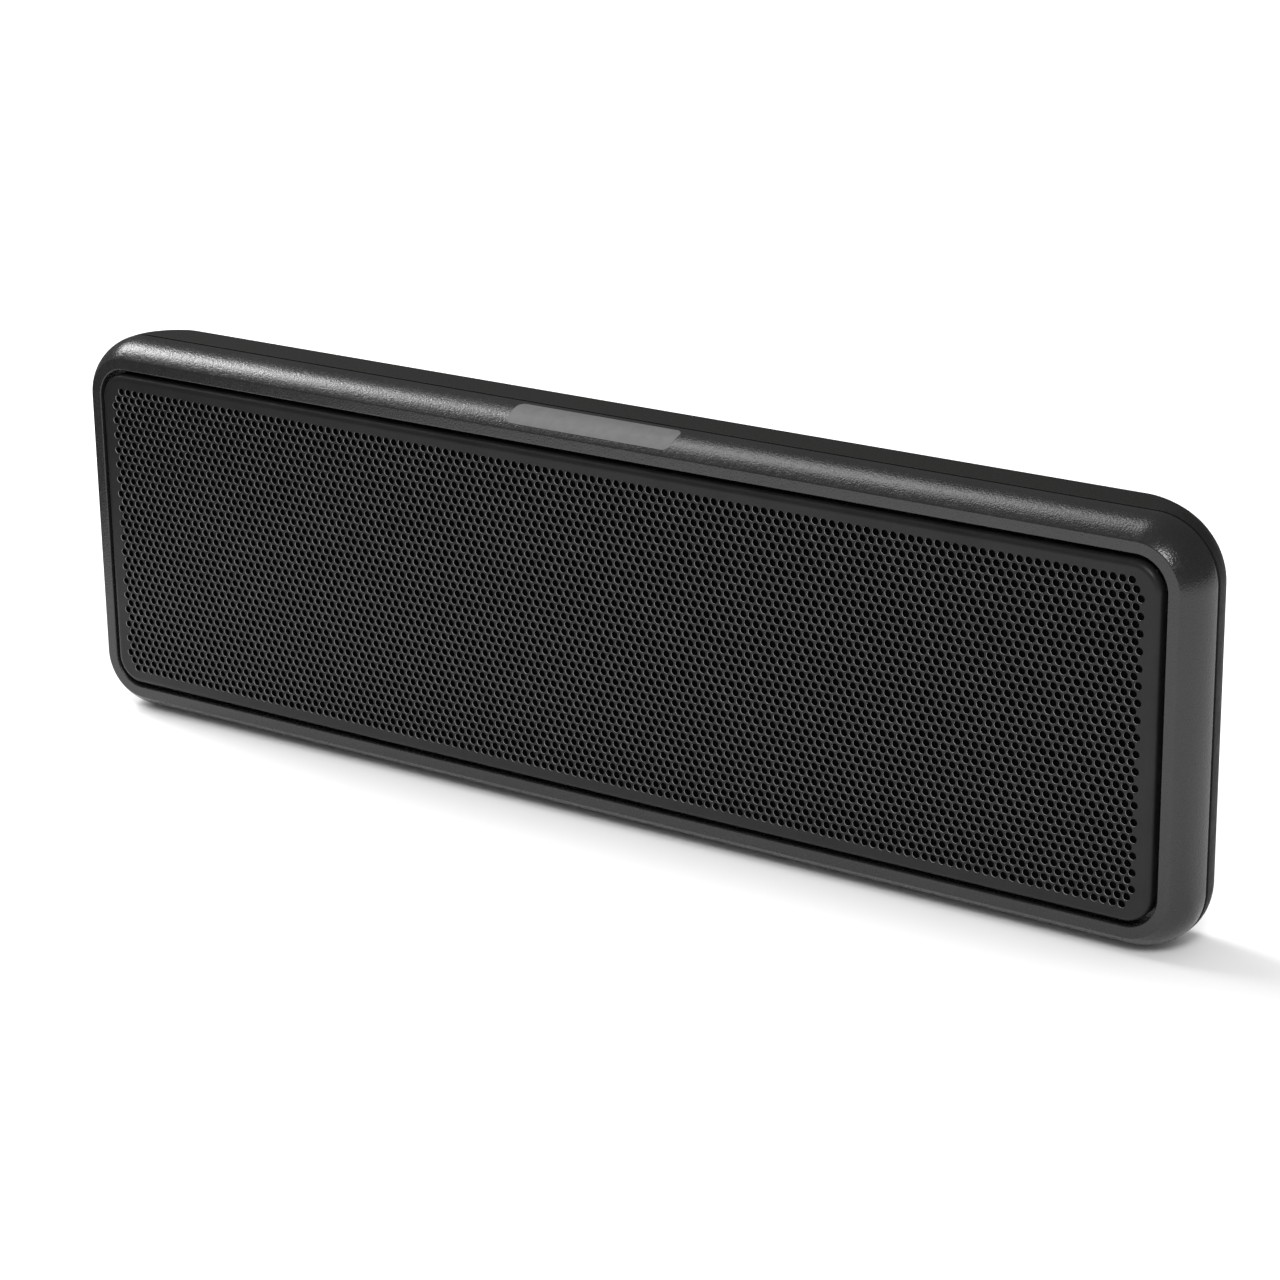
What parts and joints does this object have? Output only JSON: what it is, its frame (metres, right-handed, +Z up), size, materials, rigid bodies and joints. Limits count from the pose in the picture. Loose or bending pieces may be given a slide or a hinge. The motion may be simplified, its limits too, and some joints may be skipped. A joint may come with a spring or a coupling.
{
  "type": "loudspeaker",
  "caption": "Slim box loudspeaker with a perforated grille in a rounded bezel, small sprung drivers inside and threaded inserts in the back.",
  "frame": {"origin": "under the middle of the case, on the surface it stands on", "axes": "+Z up, -Y out of the grille, +X to the right as seen from the front"},
  "size_m": [0.2106, 0.015, 0.066],
  "materials": {
    "bezel": "satin, fine spark-eroded grain",
    "grille": "black powder coat on perforated steel",
    "tape": "foam tape",
    "cloth": "fine acoustic cloth",
    "badge": "matt grey",
    "shell": "matt, coarse grain",
    "rubber": "soft black rubber",
    "black_screw": "black zinc",
    "brass": "knurled brass",
    "plate": "blank silver-grey foil",
    "board": "green solder mask",
    "bright_screw": "zinc",
    "capacitor": "moulded case",
    "choke": "enamelled wire on a ferrite core",
    "fuse": "dipped",
    "terminal": "moulded",
    "foam": "open-cell foam",
    "lead": "insulated wire",
    "foam_gasket": "closed-cell foam",
    "frame_steel": "black pressed steel",
    "plated_steel": "zinc plated",
    "magnet": "nickel plated",
    "spider": "resin-treated cloth",
    "cone": "pressed paper pulp",
    "copper": "enamelled copper",
    "tag": "tinned brass on fibre board"
  },
  "bodies": {
    "case": {"front_bezel": "bezel", "grille": "grille", "grille_adhesive": "tape", "grille_cloth": "cloth", "badge": "badge", "rear_shell": "shell", "case_gasket": "rubber", "case_screws": "black_screw", "mount_inserts": "brass", "rating_plate": "plate", "circuit_board": "board", "board_screws": "bright_screw", "filter_capacitor": "capacitor", "filter_choke": "choke", "resettable_fuse": "fuse", "left_wire_terminal": "terminal", "right_wire_terminal": "terminal", "left_damping_pad": "foam", "right_damping_pad": "foam", "left_leads": "lead", "right_leads": "lead", "left_driver_gasket": "foam_gasket", "left_frame": "frame_steel", "left_yoke": "plated_steel", "left_magnet": "magnet", "left_top_plate": "plated_steel", "left_surround": "rubber", "left_spider": "spider", "left_terminals": "tag", "left_driver_screws": "black_screw", "right_driver_gasket": "foam_gasket", "right_frame": "frame_steel", "right_yoke": "plated_steel", "right_magnet": "magnet", "right_top_plate": "plated_steel", "right_surround": "rubber", "right_spider": "spider", "right_terminals": "tag", "right_driver_screws": "black_screw"},
    "left_diaphragm": {"left_cone": "cone", "left_dust_cap": "cone", "left_voice_coil": "copper"},
    "right_diaphragm": {"right_cone": "cone", "right_dust_cap": "cone", "right_voice_coil": "copper"}
  },
  "joints": [
    {"name": "left_cone_travel", "type": "slide", "parent": "case", "child": "left_diaphragm", "axis": [0, -1, 0], "range_m": [-0.0008, 0.0008], "stiffness_N_per_m": 900, "deforming": ["left_surround", "left_spider"]},
    {"name": "right_cone_travel", "type": "slide", "parent": "case", "child": "right_diaphragm", "axis": [0, -1, 0], "range_m": [-0.0008, 0.0008], "stiffness_N_per_m": 900, "deforming": ["right_surround", "right_spider"]}
  ]
}
